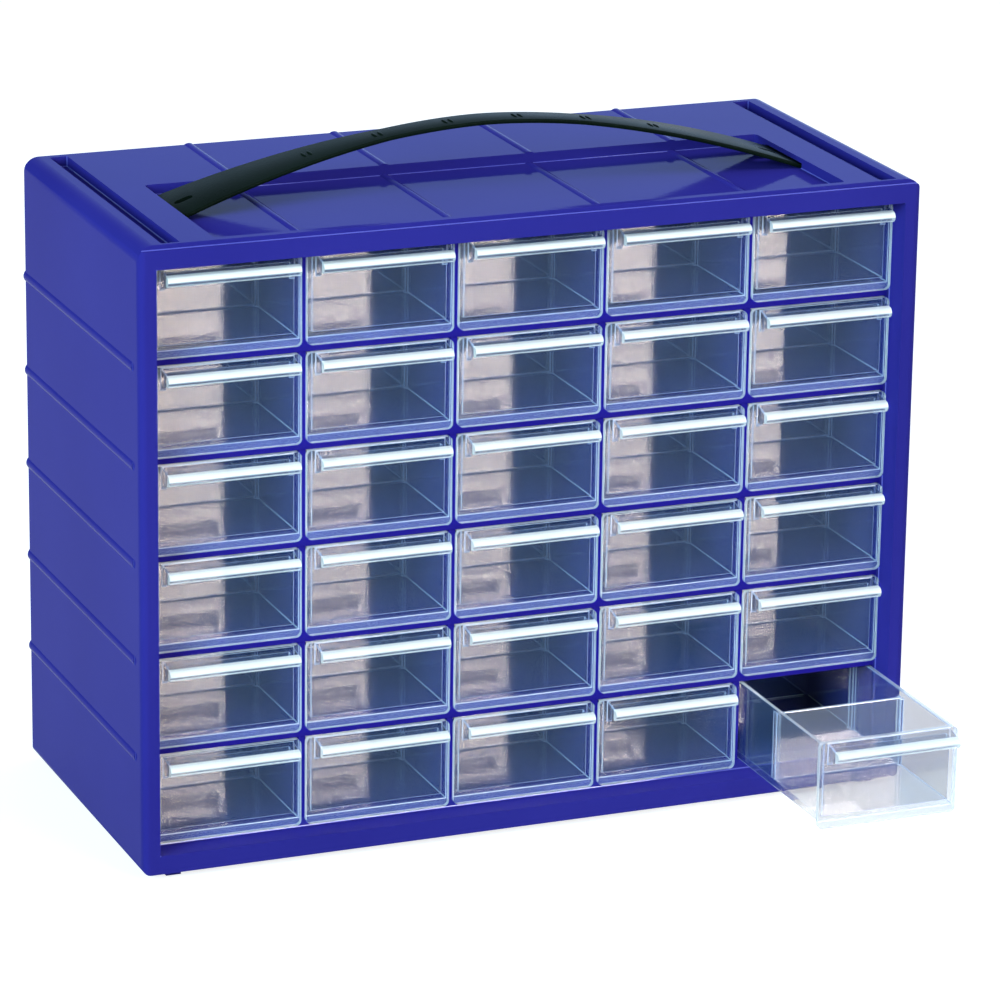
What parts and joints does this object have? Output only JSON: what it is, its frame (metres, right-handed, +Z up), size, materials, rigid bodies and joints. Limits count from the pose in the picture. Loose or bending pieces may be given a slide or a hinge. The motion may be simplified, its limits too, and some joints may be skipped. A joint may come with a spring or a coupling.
{
  "type": "parts bin cabinet",
  "caption": "Portable small-parts cabinet: a moulded housing with a grid of clear pull-out drawers behind a raised frame, and an arched strap handle on top.",
  "frame": {"origin": "on the surface that the cabinet stands on, under the middle of its bounding box with the bottom right drawer open as pictured", "axes": "+X to the right across the front, +Y from the front to the back, +Z up; drawers pull out along -Y"},
  "size_m": [0.3112, 0.2113, 0.2649],
  "materials": {
    "housing": "semi-gloss moulded polystyrene, blue",
    "clear_plastic": "glossy clear polystyrene",
    "strap": "satin flexible plastic, green-black"
  },
  "bodies": {
    "cabinet": {"housing": "housing", "back_panel": "housing", "strap_handle": "strap", "shelf_1": "housing", "shelf_2": "housing", "shelf_3": "housing", "shelf_4": "housing", "shelf_5": "housing", "partition_1": "housing", "partition_2": "housing", "partition_3": "housing", "partition_4": "housing"},
    "drawer_r1_c1": {"drawer_r1_c1": "clear_plastic"},
    "drawer_r1_c2": {"drawer_r1_c2": "clear_plastic"},
    "drawer_r1_c3": {"drawer_r1_c3": "clear_plastic"},
    "drawer_r1_c4": {"drawer_r1_c4": "clear_plastic"},
    "drawer_r1_c5": {"drawer_r1_c5": "clear_plastic"},
    "drawer_r2_c1": {"drawer_r2_c1": "clear_plastic"},
    "drawer_r2_c2": {"drawer_r2_c2": "clear_plastic"},
    "drawer_r2_c3": {"drawer_r2_c3": "clear_plastic"},
    "drawer_r2_c4": {"drawer_r2_c4": "clear_plastic"},
    "drawer_r2_c5": {"drawer_r2_c5": "clear_plastic"},
    "drawer_r3_c1": {"drawer_r3_c1": "clear_plastic"},
    "drawer_r3_c2": {"drawer_r3_c2": "clear_plastic"},
    "drawer_r3_c3": {"drawer_r3_c3": "clear_plastic"},
    "drawer_r3_c4": {"drawer_r3_c4": "clear_plastic"},
    "drawer_r3_c5": {"drawer_r3_c5": "clear_plastic"},
    "drawer_r4_c1": {"drawer_r4_c1": "clear_plastic"},
    "drawer_r4_c2": {"drawer_r4_c2": "clear_plastic"},
    "drawer_r4_c3": {"drawer_r4_c3": "clear_plastic"},
    "drawer_r4_c4": {"drawer_r4_c4": "clear_plastic"},
    "drawer_r4_c5": {"drawer_r4_c5": "clear_plastic"},
    "drawer_r5_c1": {"drawer_r5_c1": "clear_plastic"},
    "drawer_r5_c2": {"drawer_r5_c2": "clear_plastic"},
    "drawer_r5_c3": {"drawer_r5_c3": "clear_plastic"},
    "drawer_r5_c4": {"drawer_r5_c4": "clear_plastic"},
    "drawer_r5_c5": {"drawer_r5_c5": "clear_plastic"},
    "drawer_r6_c1": {"drawer_r6_c1": "clear_plastic"},
    "drawer_r6_c2": {"drawer_r6_c2": "clear_plastic"},
    "drawer_r6_c3": {"drawer_r6_c3": "clear_plastic"},
    "drawer_r6_c4": {"drawer_r6_c4": "clear_plastic"},
    "drawer_r6_c5": {"drawer_r6_c5": "clear_plastic"}
  },
  "joints": [
    {"name": "slide_r1_c1", "type": "slide", "parent": "cabinet", "child": "drawer_r1_c1", "axis": [0, -1, 0], "range_m": [0, 0.1216]},
    {"name": "slide_r1_c2", "type": "slide", "parent": "cabinet", "child": "drawer_r1_c2", "axis": [0, -1, 0], "range_m": [0, 0.1216]},
    {"name": "slide_r1_c3", "type": "slide", "parent": "cabinet", "child": "drawer_r1_c3", "axis": [0, -1, 0], "range_m": [0, 0.1216]},
    {"name": "slide_r1_c4", "type": "slide", "parent": "cabinet", "child": "drawer_r1_c4", "axis": [0, -1, 0], "range_m": [0, 0.1216]},
    {"name": "slide_r1_c5", "type": "slide", "parent": "cabinet", "child": "drawer_r1_c5", "axis": [0, -1, 0], "range_m": [-0.071, 0.0506]},
    {"name": "slide_r2_c1", "type": "slide", "parent": "cabinet", "child": "drawer_r2_c1", "axis": [0, -1, 0], "range_m": [0, 0.1216]},
    {"name": "slide_r2_c2", "type": "slide", "parent": "cabinet", "child": "drawer_r2_c2", "axis": [0, -1, 0], "range_m": [0, 0.1216]},
    {"name": "slide_r2_c3", "type": "slide", "parent": "cabinet", "child": "drawer_r2_c3", "axis": [0, -1, 0], "range_m": [0, 0.1216]},
    {"name": "slide_r2_c4", "type": "slide", "parent": "cabinet", "child": "drawer_r2_c4", "axis": [0, -1, 0], "range_m": [0, 0.1216]},
    {"name": "slide_r2_c5", "type": "slide", "parent": "cabinet", "child": "drawer_r2_c5", "axis": [0, -1, 0], "range_m": [0, 0.1216]},
    {"name": "slide_r3_c1", "type": "slide", "parent": "cabinet", "child": "drawer_r3_c1", "axis": [0, -1, 0], "range_m": [0, 0.1216]},
    {"name": "slide_r3_c2", "type": "slide", "parent": "cabinet", "child": "drawer_r3_c2", "axis": [0, -1, 0], "range_m": [0, 0.1216]},
    {"name": "slide_r3_c3", "type": "slide", "parent": "cabinet", "child": "drawer_r3_c3", "axis": [0, -1, 0], "range_m": [0, 0.1216]},
    {"name": "slide_r3_c4", "type": "slide", "parent": "cabinet", "child": "drawer_r3_c4", "axis": [0, -1, 0], "range_m": [0, 0.1216]},
    {"name": "slide_r3_c5", "type": "slide", "parent": "cabinet", "child": "drawer_r3_c5", "axis": [0, -1, 0], "range_m": [0, 0.1216]},
    {"name": "slide_r4_c1", "type": "slide", "parent": "cabinet", "child": "drawer_r4_c1", "axis": [0, -1, 0], "range_m": [0, 0.1216]},
    {"name": "slide_r4_c2", "type": "slide", "parent": "cabinet", "child": "drawer_r4_c2", "axis": [0, -1, 0], "range_m": [0, 0.1216]},
    {"name": "slide_r4_c3", "type": "slide", "parent": "cabinet", "child": "drawer_r4_c3", "axis": [0, -1, 0], "range_m": [0, 0.1216]},
    {"name": "slide_r4_c4", "type": "slide", "parent": "cabinet", "child": "drawer_r4_c4", "axis": [0, -1, 0], "range_m": [0, 0.1216]},
    {"name": "slide_r4_c5", "type": "slide", "parent": "cabinet", "child": "drawer_r4_c5", "axis": [0, -1, 0], "range_m": [0, 0.1216]},
    {"name": "slide_r5_c1", "type": "slide", "parent": "cabinet", "child": "drawer_r5_c1", "axis": [0, -1, 0], "range_m": [0, 0.1216]},
    {"name": "slide_r5_c2", "type": "slide", "parent": "cabinet", "child": "drawer_r5_c2", "axis": [0, -1, 0], "range_m": [0, 0.1216]},
    {"name": "slide_r5_c3", "type": "slide", "parent": "cabinet", "child": "drawer_r5_c3", "axis": [0, -1, 0], "range_m": [0, 0.1216]},
    {"name": "slide_r5_c4", "type": "slide", "parent": "cabinet", "child": "drawer_r5_c4", "axis": [0, -1, 0], "range_m": [0, 0.1216]},
    {"name": "slide_r5_c5", "type": "slide", "parent": "cabinet", "child": "drawer_r5_c5", "axis": [0, -1, 0], "range_m": [0, 0.1216]},
    {"name": "slide_r6_c1", "type": "slide", "parent": "cabinet", "child": "drawer_r6_c1", "axis": [0, -1, 0], "range_m": [0, 0.1216]},
    {"name": "slide_r6_c2", "type": "slide", "parent": "cabinet", "child": "drawer_r6_c2", "axis": [0, -1, 0], "range_m": [0, 0.1216]},
    {"name": "slide_r6_c3", "type": "slide", "parent": "cabinet", "child": "drawer_r6_c3", "axis": [0, -1, 0], "range_m": [0, 0.1216]},
    {"name": "slide_r6_c4", "type": "slide", "parent": "cabinet", "child": "drawer_r6_c4", "axis": [0, -1, 0], "range_m": [0, 0.1216]},
    {"name": "slide_r6_c5", "type": "slide", "parent": "cabinet", "child": "drawer_r6_c5", "axis": [0, -1, 0], "range_m": [0, 0.1216]}
  ]
}
